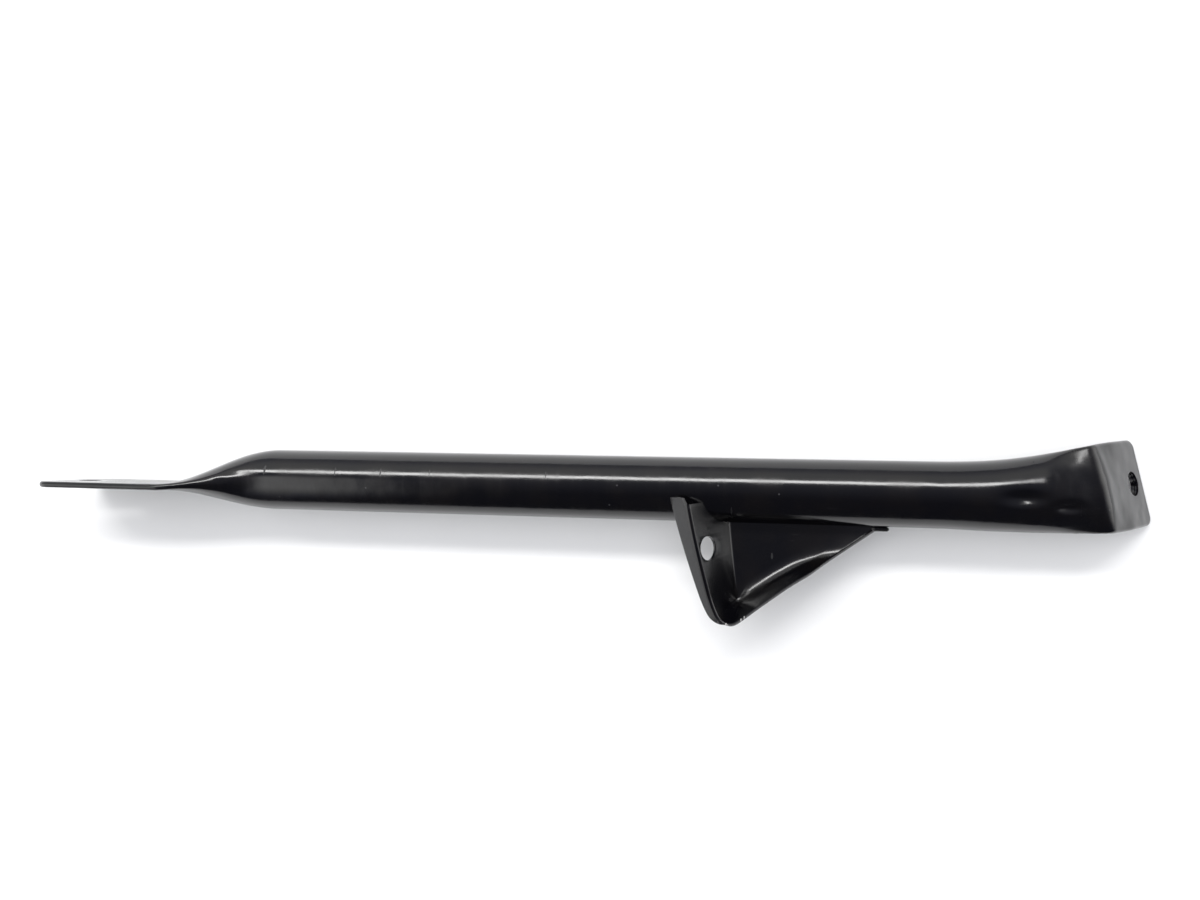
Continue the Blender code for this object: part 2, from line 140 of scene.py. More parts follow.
WALL_RIM = ((-12.9, -57.1), (-4.4, -50.6), (8.0, -41.6), (18.2, -35.5), (46.5, -15.4))
WALL_RIM_Z = ((-12.9, 14.0), (8.0, 9.6), (18.2, 6.7), (23.0, 2.6), (29.0, 0.4), (46.5, -0.6))
LIP_RUNS = (8.2, 4.3, 0.5)   # over the tube, at the tray's corner, on the sloping wall
LIP_DROPS = (8.4, 4.0, -0.4)
SADDLE_CLEARANCE = 0.08
SADDLE_LENGTH = 160.0
SADDLE_SIDES = 256
FLANGE_BEND_RADIUS = 2.4
FLANGE_BEND_REACH = FLANGE_BEND_RADIUS * 1.2         # from the foot to the web's flat part
WALL_BEND_RADIUS = 9.0
WALL_BEND_REACH = WALL_BEND_RADIUS * 0.65
RIM_BEND_RADIUS = 1.6
HORN_ROUND = 3.6             # rounding where the lip ends over the tube
BEND_STEPS = 8               # steps round a bend and across the lip
LIP_STEPS = 6
HORN_STEPS = 10              # profiles on each stretch of the tray
FLANGE_STEPS = 30
CORNER_STEPS = 27
WALL_STEPS = 41
RELAX_PASSES = 6

# Weld beads
BEAD_RADIUS = 1.6
BEAD_SIDES = 24
BEAD_STEP = 0.2              # between the rings of a straight bead
BEAD_SEAT = 0.75             # height of a bead's centre over the tube, in bead radii
BEAD_OFFSET = 0.7            # distance of a bead's centre from the sheet, in bead radii
END_TAPER = 1.3              # length over which a bead's end swells, in bead radii
END_TIP = 0.06               # least radius at a bead's end, in bead radii
RIPPLE_PITCH = 1.7
RIPPLE_DEPTH = 0.12
RIPPLE_POWER = 0.6
RIPPLE_LEAN = 0.25           # how far the rings lean along the bead
FLANGE_BEAD_ANGLES = (40.0, 88.0)    # round the tube from its top, in degrees
FLANGE_BEAD_STEPS = 80
TAIL_BEAD_RADIUS = 1.3
TAIL_BEAD_ANGLE = math.radians(91.0)
TAIL_BEAD_X = (44.5, 52.4)
TAIL_BEAD_STEPS = 40

# Camera, in the tube's axes
CAMERA_PLACE = np.array([0.0, 18.934, 440.850])
CAMERA_RIGHT = Vector((0.98347, 0.01589, -0.18036))
CAMERA_UP = Vector((-0.01616, 0.99987, 0.0))
CAMERA_LENS = 28.2
SENSOR_WIDTH = 36.0


def place(points):
    """Millimetre points on the tube's axes, as metres in the frame."""
    return np.asarray(points, dtype=float) * MM + AXES_ORIGIN


def smooth_table(rows, distance):
    """Read a table of rows at a distance, along a smooth curve through every column."""
    knots = np.array([row[0] for row in rows])
    values = np.array([row[1:] for row in rows])
    widths = np.diff(knots)
    slopes = np.diff(values, axis=0) / widths[:, None]
    tangents = np.zeros_like(values)
    for i in range(1, len(rows) - 1):
        before, after = slopes[i - 1], slopes[i]
        same_way = before * after > 0.0
        total = np.where(same_way, before + after, 1.0)
        tangents[i] = np.where(same_way, 2.0 * before * after / total, 0.0)
    i = int(np.clip(np.searchsorted(knots, distance, side="right") - 1, 0, len(widths) - 1))
    t = (distance - knots[i]) / widths[i]
    start = (1.0 + 2.0 * t) * (1.0 - t) ** 2 * values[i]
    leave = t * (1.0 - t) ** 2 * widths[i] * tangents[i]
    end = t * t * (3.0 - 2.0 * t) * values[i + 1]
    arrive = t * t * (t - 1.0) * widths[i] * tangents[i + 1]
    return start + leave + end + arrive


# --- Meshes -----------------------------------------------------------------------------------

def mesh_object(name, vertices, faces, merge=0.0):
    """Object from millimetre points on the tube's axes, with its faces looking outwards."""
    mesh = bpy.data.meshes.new(name)
    mesh.from_pydata([tuple(p) for p in place(vertices)], [], faces)
    work = bmesh.new()
    work.from_mesh(mesh)
    if merge > 0.0:
        bmesh.ops.remove_doubles(work, verts=work.verts, dist=merge * MM)
    bmesh.ops.recalc_face_normals(work, faces=work.faces)
    if work.calc_volume(signed=True) < 0.0:
        bmesh.ops.reverse_faces(work, faces=work.faces)
    work.to_mesh(mesh)
    work.free()
    item = bpy.data.objects.new(name, mesh)
    bpy.context.scene.collection.objects.link(item)
    return item


def bridge(first, second, count, closed=True):
    """Quads between two rows of vertex numbers that start at first and second."""
    last = count if closed else count - 1
    return [(first + i, first + (i + 1) % count, second + (i + 1) % count, second + i)
            for i in range(last)]


def settle(item):
    """Turn an object's modifiers into its mesh."""
    graph = bpy.context.evaluated_depsgraph_get()
    mesh = bpy.data.meshes.new_from_object(item.evaluated_get(graph))
    item.modifiers.clear()
    item.data = mesh


def cylinder(centre, direction, radius, length, sides=96):
    """Round cutter through a point."""
    direction = np.asarray(direction, dtype=float) / np.linalg.norm(direction)
    helper = np.array([0.0, 0.0, 1.0]) if abs(direction[2]) < 0.9 else np.array([1.0, 0.0, 0.0])
    side = np.cross(direction, helper)
    side /= np.linalg.norm(side)
    other = np.cross(direction, side)
    vertices = []
    for end in (-0.5, 0.5):
        for i in range(sides):
            angle = 2.0 * math.pi * i / sides
            rim = math.cos(angle) * side + math.sin(angle) * other
            vertices.append(np.asarray(centre) + direction * end * length + rim * radius)
    faces = bridge(0, sides, sides)
    faces.append(tuple(range(sides)))
    faces.append(tuple(reversed(range(sides, 2 * sides))))
    return mesh_object("cutter", vertices, faces)


def cut(target, cutter):
    """Take the cutter out of the target, and throw the cutter away."""
    modifier = target.modifiers.new("Cut", "BOOLEAN")
    modifier.operation = "DIFFERENCE"
    modifier.solver = "EXACT"
    modifier.object = cutter
    settle(target)
    bpy.data.objects.remove(cutter, do_unlink=True)


def soften_hole(item, centre, direction, radius, width):
    """Round the two rims of a drilled hole."""
    axis = Vector(direction).normalized()
    middle = Vector(place(centre))
    least_angle = math.radians(55.0)
    tolerance = 0.03
    clear_of_middle = SHEET * 0.3
    work = bmesh.new()
    work.from_mesh(item.data)
    rim = []
    for edge in work.edges:
        if len(edge.link_faces) != 2 or edge.calc_face_angle(0.0) < least_angle:
            continue
        offsets = [v.co - middle for v in edge.verts]
        away = [(o - axis * o.dot(axis)).length / MM for o in offsets]
        along = [abs(o.dot(axis)) / MM for o in offsets]
        if max(abs(a - radius) for a in away) < tolerance and min(along) > clear_of_middle:
            rim.append(edge)
    bmesh.ops.bevel(work, geom=rim, offset=width * MM, segments=3, profile=0.5, affect="EDGES",
                    clamp_overlap=True)
    work.to_mesh(item.data)
    work.free()


def finish_mesh(item, material, slot, *nodes, sharp=38.0):
    """Shade a piece, give it its material, and let it ride in place of its frame nodes."""
    item.data.materials.clear()
    item.data.materials.append(material)
    item.data.shade_smooth()
    item.data.set_sharp_from_angle(angle=math.radians(sharp))
    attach(item, "root")
    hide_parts(*nodes)


# --- Tube -------------------------------------------------------------------------------------

def tip_radius(half_thickness):
    """Radius of a crushed section's two folded edges."""
    opened = (half_thickness - CRUSHED_HALF) / (TUBE_RADIUS - CRUSHED_HALF)
    return CRUSHED_HALF + (TUBE_RADIUS - CRUSHED_HALF) * max(opened, 0.0) ** TIP_POWER


def crushed_ring(half_width, half_thickness, radius):
    """Outline of a crushed tube: two shallow flanks joined by a tight arc at each folded edge."""
    reach = half_width - radius
    slack = max(half_thickness - radius, 0.001)
    flank = (reach ** 2 + half_thickness ** 2 - radius ** 2) / (2.0 * slack)
    flank_angle = math.asin(reach / (flank - radius)) if flank > radius else 0.0
    edge = np.linspace(0.0, math.pi / 2.0 - flank_angle, 100)
    face = np.linspace(flank_angle, 0.0, 300)[1:]
    wide = np.concatenate([reach + radius * np.cos(edge), flank * np.sin(face)])
    thin = np.concatenate([radius * np.sin(edge), half_thickness - flank + flank * np.cos(face)])
    walked = np.concatenate([[0.0], np.cumsum(np.hypot(np.diff(wide), np.diff(thin)))])
    quarter = RING_POINTS // 4
    steps = np.linspace(0.0, walked[-1], quarter + 1)[:-1]
    back = np.linspace(walked[-1], 0.0, quarter + 1)[:-1]
    q_wide, q_thin = np.interp(steps, walked, wide), np.interp(steps, walked, thin)
    b_wide, b_thin = np.interp(back, walked, wide), np.interp(back, walked, thin)
    ring_wide = np.concatenate([q_wide, -b_wide, -q_wide, b_wide])
    ring_thin = np.concatenate([q_thin, b_thin, -q_thin, -b_thin])
    return np.stack([ring_wide, ring_thin], axis=1)


def corner_inset(distance_from_end, radius):
    """How far a rounded corner has pulled the side in, at a distance from the end."""
    if distance_from_end >= radius:
        return 0.0
    return radius - math.sqrt(radius ** 2 - (radius - distance_from_end) ** 2)


def corner_steps(radius):
    """Distances from the end that draw a rounded corner and the softened edge before it."""
    edge = [EDGE_ROUND * share for share in (0.0, 0.15, 0.45, 1.0)]
    turn = [radius * (1.0 - math.cos(math.radians(a))) for a in range(6, 91, 6)]
    return sorted(edge + [d for d in turn if d > EDGE_ROUND * 1.2])


def end_pair(half_width, half_thickness, from_end):
    """Outer and inner ring of one section, with the outer one softened at the cut end."""
    radius = tip_radius(half_thickness)
    soft = corner_inset(from_end, EDGE_ROUND)
    outer = crushed_ring(half_width - soft, half_thickness - soft, radius - soft)
    inner = crushed_ring(half_width - TUBE_WALL, half_thickness - TUBE_WALL, radius - TUBE_WALL)
    return outer, inner


def tongue_sections():
    """Outer and inner rings from the tongue's end to the round tube."""
    spread = (TONGUE_HALF_WIDTH - CRUSHED_HALF) / (TUBE_RADIUS - CRUSHED_HALF)
    places = [TONGUE_END_X + d for d in corner_steps(TONGUE_CORNER_RADIUS)]
    places += list(np.linspace(places[-1], TONGUE_ROOT_X, TONGUE_STEPS))[1:-1]
    places += list(np.linspace(TONGUE_ROOT_X, ROUND_START_X, NECK_STEPS))
    sections = []
    for x in places:
        t = min(max((x - TONGUE_ROOT_X) / (ROUND_START_X - TONGUE_ROOT_X), 0.0), 1.0)
        opened = math.sin(t * math.pi / 2.0) ** OPENING_POWER
        half_thickness = CRUSHED_HALF + (TUBE_RADIUS - CRUSHED_HALF) * opened
        half_width = half_thickness + spread * (TUBE_RADIUS - half_thickness)
        half_width -= corner_inset(x - TONGUE_END_X, TONGUE_CORNER_RADIUS)
        centre_y = TONGUE_OFFSET_Y * (1.0 - opened)
        pair = []
        for ring in end_pair(half_width, half_thickness, x - TONGUE_END_X):
            column = np.full(RING_POINTS, x)
            pair.append(np.stack([column, centre_y - ring[:, 1], ring[:, 0]], axis=1))
        sections.append(pair)
    return sections


def centre_line(distance):
    """Plan position and heading of the tube's centre line at a distance past x = 0."""
    radius = (BEND_END - BEND_START) / BEND_ANGLE
    turned = np.clip((distance - BEND_START) / radius, 0.0, BEND_ANGLE)
    x = min(distance, BEND_START) + radius * math.sin(turned)
    y = radius * (1.0 - math.cos(turned))
    past = max(distance - BEND_END, 0.0)
    return x + past * math.cos(turned), y + past * math.sin(turned), turned


def fold_frame():
    """Point where the fold starts and the level direction across the fold line."""
    x, y, heading = centre_line(FOLD_START)
    across = heading + FOLD_SKEW
    return np.array([x, y, 0.0]), np.array([math.cos(across), math.sin(across), 0.0])


def fold(points):
    """Fold the flat tab's points down about the fold line."""
    start, across = fold_frame()
    axis_z = TAB_STATIONS[-1][3] - FOLD_OUTER_RADIUS
    distance = (points - start) @ across
    height = points[:, 2] - axis_z
    angle = np.clip(distance / FOLD_NEUTRAL_RADIUS, 0.0, FOLD_ANGLE)
    past = np.maximum(distance - FOLD_NEUTRAL_RADIUS * FOLD_ANGLE, 0.0)
    level = height * np.sin(angle) + past * math.cos(FOLD_ANGLE)
    folded = points + np.outer(level - distance, across)
    folded[:, 2] = axis_z + height * np.cos(angle) - past * math.sin(FOLD_ANGLE)
    return np.where((distance > 0.0)[:, None], folded, points)


def tab_sections():
    """Outer and inner rings from the round tube to the tab's end."""
    end = TAB_STATIONS[-1][0]
    fold_end = FOLD_START + FOLD_NEUTRAL_RADIUS * FOLD_ANGLE
    flat_start = TAB_STATIONS[-2][0]
    tail = [end - d for d in reversed(corner_steps(TAB_CORNER_RADIUS))]
    places = list(np.linspace(ROUND_START_X, TAB_STATIONS[0][0], STRAIGHT_STEPS))[1:]
    places += list(np.linspace(TAB_STATIONS[0][0], FOLD_START, SHOULDER_STEPS))[1:]
    places += list(np.linspace(FOLD_START, fold_end, FOLD_STEPS))[1:]
    places += list(np.linspace(fold_end, flat_start, LEAD_STEPS))[1:]
    places += list(np.linspace(flat_start, tail[0], FLAT_STEPS))[1:-1]
    places += tail
    sections = []
    for distance in places:
        table_place = max(distance, TAB_STATIONS[0][0])
        half_width, half_thickness, top = smooth_table(TAB_STATIONS, table_place)
        half_width -= corner_inset(end - distance, TAB_CORNER_RADIUS)
        x, y, heading = centre_line(distance)
        skew = FOLD_SKEW * heading / BEND_ANGLE
        side = np.array([-math.sin(heading + skew), math.cos(heading + skew)]) / math.cos(skew)
        pair = []
        for ring in end_pair(half_width, half_thickness, end - distance):
            ring = np.roll(ring, RING_POINTS // 4, axis=0)
            level = np.array([x, y]) - np.outer(ring[:, 0], side)
            points = np.column_stack([level, top - half_thickness - ring[:, 1]])
            pair.append(fold(points))
        sections.append(pair)
    return sections


def tab_hole():
    """Centre of the bolt hole in the middle of the tab's thickness, and the hole's direction."""
    end = TAB_STATIONS[-1][0]
    x, y, _ = centre_line(end - TAB_HOLE_SETBACK)
    centre = fold(np.array([[x, y, TAB_STATIONS[-1][3] - CRUSHED_HALF]]))[0]
    across = fold_frame()[1]
    facing = across * math.sin(FOLD_ANGLE) + np.array([0.0, 0.0, math.cos(FOLD_ANGLE)])
    return centre, facing


def dent(points):
    """Press the dents into the upper side of one of the tube's skins."""
    pressed = points.copy()
    for x, y, reach_x, reach_y, depth in DENTS:
        away = ((points[:, 0] - x) / reach_x) ** 2 + ((points[:, 1] - y) / reach_y) ** 2
        pressed[:, 2] -= np.where(points[:, 2] > UPPER_SIDE_Z, depth * np.exp(-away), 0.0)
    return pressed


def make_tube(material):
    """The strut: an outer and an inner skin, joined round both crushed ends, with bolt holes."""
    sections = tongue_sections() + tab_sections()
    outer = [dent(pair[0]) for pair in sections]
    inner = [dent(pair[1]) for pair in sections]
    vertices = np.concatenate(outer + inner)
    inner_start = len(sections) * RING_POINTS
    faces = []
    for skin in (0, inner_start):
        for i in range(len(sections) - 1):
            first = skin + i * RING_POINTS
            faces += bridge(first, first + RING_POINTS, RING_POINTS)
    for end in (0, len(sections) - 1):
        faces += bridge(end * RING_POINTS, inner_start + end * RING_POINTS, RING_POINTS)
    tube = mesh_object("tube_shell", vertices, faces)
    tongue_centre = (TONGUE_END_X + TONGUE_HOLE_SETBACK, TONGUE_OFFSET_Y, 0.0)
    for centre, direction in ((tongue_centre, (0.0, 1.0, 0.0)), tab_hole()):
        cut(tube, cylinder(centre, direction, BOLT_HOLE_RADIUS, CUTTER_LENGTH))
        soften_hole(tube, centre, direction, BOLT_HOLE_RADIUS, EDGE_ROUND)
    finish_mesh(tube, material, "tube_paint", "strut_tube")


# --- Gusset tray ------------------------------------------------------------------------------

def flange_heading():
    """Level direction down the flange's foot, and the level direction out of the tray."""
    heading = np.array([math.cos(FLANGE_HEADING), math.sin(FLANGE_HEADING)])
    return heading, np.array([heading[1], -heading[0]])


def flange_point(along, height):
    """Point on the flange's inner face: along its foot, and up from the web."""
    heading, outward = flange_heading()
    level = FLANGE_TOP + heading * along + outward * height * math.tan(FLANGE_LEAN)
    return np.array([level[0], level[1], WEB_TOP_Z + height])


def flange_normal():
    """Direction that the flange's inner face looks in."""
    inward = -flange_heading()[1]
    return np.array([*(inward * math.cos(FLANGE_LEAN)), math.sin(FLANGE_LEAN)])


def wall_heading():
    """Level direction along the wall's foot, and the level direction into the tray."""
    heading = np.array(WALL_FOOT[1]) - np.array(WALL_FOOT[0])
    heading /= np.linalg.norm(heading)
    return heading, np.array([-heading[1], heading[0]])


def web_corner():
    """Point in the web from which the tray's corner fans out, clear of both bends."""
    heading, outward = flange_heading()
    wall, inward = wall_heading()
    start = FLANGE_TOP - outward * FLANGE_BEND_REACH
    wall_start = np.array(WALL_FOOT[0]) + inward * WALL_BEND_REACH
    steps = np.linalg.solve(np.column_stack([heading, -wall]), wall_start - start)
    return start + heading * steps[0]


def flange_station(along):
    """Web, foot, rim and lip points of the tray at a distance along the flange."""
    t = along / FLANGE_FOOT_LENGTH
    taper = t ** FLANGE_TAPER_POWER
    height = FLANGE_HEIGHTS[0] + (FLANGE_HEIGHTS[1] - FLANGE_HEIGHTS[0]) * taper
    heading, outward = flange_heading()
    foot = flange_point(along, 0.0)
    rim = flange_point(along, height)
    run = LIP_RUNS[0] + (LIP_RUNS[1] - LIP_RUNS[0]) * t
    drop = LIP_DROPS[0] + (LIP_DROPS[1] - LIP_DROPS[0]) * t
    lip = np.append(rim[:2] + outward * run, rim[2] - drop)
    corner = web_corner()
    corner_along = (corner - FLANGE_TOP) @ heading
    web = FLANGE_TOP - outward * FLANGE_BEND_REACH + heading * min(along, corner_along)
    return np.append(web, WEB_TOP_Z), foot, rim, lip, FLANGE_BEND_RADIUS


def corner_station(t):
    """Web, foot, rim and lip points round the tray's corner, from 0 to 1."""
    angle = CORNER_ANGLES[0] + (CORNER_ANGLES[1] - CORNER_ANGLES[0]) * t
    outward = np.array([math.cos(angle), math.sin(angle)])
    foot = np.append(FOOT_CORNER + outward * FOOT_CORNER_RADIUS, WEB_TOP_Z)
    start_z = WEB_TOP_Z + FLANGE_HEIGHTS[1]
    rim_z = start_z + (WALL_RIM_Z[0][1] - start_z) * t
    rim = np.append(RIM_CORNER + outward * RIM_CORNER_RADIUS, rim_z)
    shrunk = min(t * LIP_CORNER_HASTE, 1.0)
    run = LIP_RUNS[1] + (LIP_RUNS[2] - LIP_RUNS[1]) * shrunk
    drop = LIP_DROPS[1] + (LIP_DROPS[2] - LIP_DROPS[1]) * shrunk
    lip = np.append(rim[:2] + outward * run, rim[2] - drop)
    bend = FLANGE_BEND_RADIUS + (WALL_BEND_RADIUS - FLANGE_BEND_RADIUS) * t * 0.5
    return np.append(web_corner(), WEB_TOP_Z), foot, rim, lip, bend


def wall_station(t):
    """Web, foot, rim and lip points along the sloping wall, from 0 at the corner to 1."""
    angle = CORNER_ANGLES[1]
    outward = np.array([math.cos(angle), math.sin(angle)])
    foot_x = WALL_FOOT[0][0] + (WALL_FOOT[-1][0] - WALL_FOOT[0][0]) * t
    foot = np.array([foot_x, np.interp(foot_x, *zip(*WALL_FOOT)), WEB_TOP_Z])
    rim_x = WALL_RIM[0][0] + (WALL_RIM[-1][0] - WALL_RIM[0][0]) * t
    rim_y = np.interp(rim_x, *zip(*WALL_RIM))
    rim = np.array([rim_x, rim_y, np.interp(rim_x, *zip(*WALL_RIM_Z))])
    lip = np.append(rim[:2] + outward * LIP_RUNS[2], rim[2] - LIP_DROPS[2])
    heading, inward = wall_heading()
    web = foot[:2] + inward * WALL_BEND_REACH
    corner = web_corner()
    if (web - corner) @ heading < 0.0:
        web = corner
    bend = WALL_BEND_RADIUS * min(0.5 + t * 4.0, 1.0)
    return np.append(web, WEB_TOP_Z), foot, rim, lip, bend


def fillet(before, corner, after, radius):
    """Points of an arc that rounds a corner between two straight runs."""
    back, ahead = before - corner, after - corner
    back_length, ahead_length = np.linalg.norm(back), np.linalg.norm(ahead)
    back, ahead = back / back_length, ahead / ahead_length
    half = math.acos(np.clip(back @ ahead, -1.0, 1.0)) / 2.0
    reach = min(radius / math.tan(half), 0.92 * back_length, 0.46 * ahead_length)
    middle = (back + ahead) / np.linalg.norm(back + ahead)
    centre = corner + middle * reach / math.cos(half)
    start, end = corner + back * reach - centre, corner + ahead * reach - centre
    turn = math.pi - 2.0 * half
    arc = []
    for t in np.linspace(0.0, 1.0, BEND_STEPS + 1):
        mix = math.sin((1.0 - t) * turn) * start + math.sin(t * turn) * end
        arc.append(centre + mix / math.sin(turn))
    return arc


def tray_profile(station):
    """Points of the sheet's inner face from the web, up the wall and over the rim to the lip."""
    web, foot, rim, lip, bend = station
    points = [web] + fillet(web, foot, rim, bend) + fillet(foot, rim, lip, RIM_BEND_RADIUS)
    start = points[-1]
    points += [start + (lip - start) * i / LIP_STEPS for i in range(1, LIP_STEPS + 1)]
    return np.array(points)


def horn_profile(along):
    """A profile near the flange's end, pulled back where the sheet's corner is rounded off."""
    points = tray_profile(flange_station(along))
    rim_end = len(points) - LIP_STEPS - 1
    rounded = []
    for i, point in enumerate(points):
        past_rim = np.linalg.norm(point - points[rim_end]) if i > rim_end else 0.0
        pulled = max(along, corner_inset(past_rim, HORN_ROUND))
        rounded.append(tray_profile(flange_station(pulled))[i])
    return np.array(rounded)


def tray_profiles():
    """All profiles round the tray: down the flange, round the corner and up the wall."""
    horn = np.linspace(0.0, HORN_ROUND, HORN_STEPS)
    flange = np.linspace(HORN_ROUND, FLANGE_FOOT_LENGTH, FLANGE_STEPS)[1:]
    corner = np.linspace(0.0, 1.0, CORNER_STEPS)[1:-1]
    wall = np.linspace(0.0, 1.0, WALL_STEPS)
    profiles = [horn_profile(along) for along in horn]
    profiles += [tray_profile(flange_station(along)) for along in flange]
    profiles += [tray_profile(corner_station(t)) for t in corner]
    profiles += [tray_profile(wall_station(t)) for t in wall]
    return relaxed(profiles)


def relaxed(profiles):
    """Even out the bends between neighbouring profiles, except at the horn."""
    stack = np.array(profiles)
    first = HORN_STEPS + 2
    for _ in range(RELAX_PASSES):
        middle = (stack[first - 1:-2] + 2.0 * stack[first:-1] + stack[first + 1:]) / 4.0
        stack[first:-1] = middle
    return stack


def soften_sheet_edges(tray):
    """Round the sheared edges of the sheet."""
    work = bmesh.new()
    work.from_mesh(tray.data)
    sharp = [e for e in work.edges
             if len(e.link_faces) == 2 and e.calc_face_angle(0.0) > math.radians(65.0)]
    bmesh.ops.bevel(work, geom=sharp, offset=EDGE_ROUND * MM, segments=3, profile=0.5,
                    affect="EDGES", clamp_overlap=True)
    work.to_mesh(tray.data)
    work.free()


def make_tray(material):
    """The pressed sheet: inner face, thickness, softened lip, tube saddle and bolt hole."""
    profiles = tray_profiles()
    count, depth = profiles.shape[:2]
    vertices = profiles.reshape(-1, 3)
    faces = [tuple(i * depth for i in range(count))]
    for i in range(count - 1):
        faces += bridge(i * depth, (i + 1) * depth, depth, closed=False)
    tray = mesh_object("gusset_tray", vertices, faces, merge=0.01)
    work = bmesh.new()
    work.from_mesh(tray.data)
    if max(work.faces, key=lambda f: f.calc_area()).normal.z < 0.0:
        bmesh.ops.reverse_faces(work, faces=work.faces)
    work.to_mesh(tray.data)
    work.free()
    shell = tray.modifiers.new("Sheet", "SOLIDIFY")
    shell.thickness = SHEET * MM
    shell.offset = -1.0
    shell.use_even_offset = True
    settle(tray)
    soften_sheet_edges(tray)
    cut(tray, cylinder((0.0, 0.0, 0.0), (1.0, 0.0, 0.0), TUBE_RADIUS + SADDLE_CLEARANCE,
                       SADDLE_LENGTH, sides=SADDLE_SIDES))
    centre = flange_point(FLANGE_TOP[1] - FLANGE_HOLE_Y, FLANGE_HOLE_HEIGHT)
    centre = centre - flange_normal() * SHEET / 2.0
    cut(tray, cylinder(centre, flange_normal(), BOLT_HOLE_RADIUS, CUTTER_LENGTH))
    soften_hole(tray, centre, flange_normal(), BOLT_HOLE_RADIUS, EDGE_ROUND)
    finish_mesh(tray, material, "bracket_paint", "gusset_bracket")


# --- Weld beads -------------------------------------------------------------------------------

def on_tube(x, angle, bead_radius):
    """A bead's centre on the tube: angle is measured from straight up towards -Y."""
    reach = TUBE_RADIUS + bead_radius * BEAD_SEAT
    return np.array([x, -reach * math.sin(angle), reach * math.cos(angle)])


def make_bead(name, path, material, bead_radius=BEAD_RADIUS):
    """A rippled weld bead along a path, with rounded ends."""
    path = np.array(path)
    walked = np.concatenate([[0.0], np.cumsum(np.linalg.norm(np.diff(path, axis=0), axis=1))])
    tangents = np.gradient(path, axis=0)
    tangents /= np.linalg.norm(tangents, axis=1)[:, None]
    vertices = []
    for point, tangent, distance in zip(path, tangents, walked):
        from_end = min(distance, walked[-1] - distance)
        fullness = min(from_end / (bead_radius * END_TAPER), 1.0)
        swell = max(math.sqrt(fullness * (2.0 - fullness)), END_TIP)
        wave = abs(math.sin(math.pi * distance / RIPPLE_PITCH)) ** RIPPLE_POWER
        radius = bead_radius * swell * (1.0 - RIPPLE_DEPTH * wave)
        out = np.array([0.0, point[1], point[2]])
        out -= tangent * out.dot(tangent)
        out /= np.linalg.norm(out)
        side = np.cross(tangent, out)
        for i in range(BEAD_SIDES):
            angle = 2.0 * math.pi * i / BEAD_SIDES
            lean = RIPPLE_LEAN * radius * math.cos(angle)
            rim = radius * (math.cos(angle) * out + math.sin(angle) * side)
            vertices.append(point + rim + tangent * lean)
    faces = []
    for i in range(len(path) - 1):
        faces += bridge(i * BEAD_SIDES, (i + 1) * BEAD_SIDES, BEAD_SIDES)
    last = (len(path) - 1) * BEAD_SIDES
    faces.append(tuple(range(BEAD_SIDES)))
    faces.append(tuple(range(last, last + BEAD_SIDES)))
    bead = mesh_object("bead_" + name.removeprefix("weld_"), vertices, faces)
    finish_mesh(bead, material, "weld_paint", name, sharp=60.0)


def straight_path(box, angle, bead_radius):
    """Points along the tube over the length of a frame node's box."""
    low, high = ((np.array(corner) - AXES_ORIGIN) / MM for corner in box)
    steps = int((high[0] - low[0]) / BEAD_STEP)
    return [on_tube(x, angle, bead_radius) for x in np.linspace(low[0], high[0], steps)]


def make_beads(material):
    """The bead behind the flange, two stitches under the web, and the lump at the tail."""
    clear = (SHEET + BEAD_RADIUS * BEAD_OFFSET) / math.cos(FLANGE_LEAN)
    flange = []
    for angle in np.radians(np.linspace(*FLANGE_BEAD_ANGLES, FLANGE_BEAD_STEPS)):
        _, y, z = on_tube(0.0, angle, BEAD_RADIUS)
        along = (FLANGE_TOP[1] - y) / math.sin(-FLANGE_HEADING)
        x = flange_point(along, z - WEB_TOP_Z)[0] - clear
        flange.append(on_tube(x, angle, BEAD_RADIUS))
    make_bead("weld_flange", flange, material)
    below_web = SHEET - WEB_TOP_Z + BEAD_RADIUS * BEAD_OFFSET
    under_web = math.radians(90.0) + math.asin(below_web / (TUBE_RADIUS + BEAD_RADIUS))
    for name in ("weld_web_front", "weld_web_rear"):
        make_bead(name, straight_path(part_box(name), under_web, BEAD_RADIUS), material)
    tail = [on_tube(x, TAIL_BEAD_ANGLE, TAIL_BEAD_RADIUS)
            for x in np.linspace(*TAIL_BEAD_X, TAIL_BEAD_STEPS)]
    make_bead("weld_tail", tail, material, TAIL_BEAD_RADIUS)


# --- Materials --------------------------------------------------------------------------------

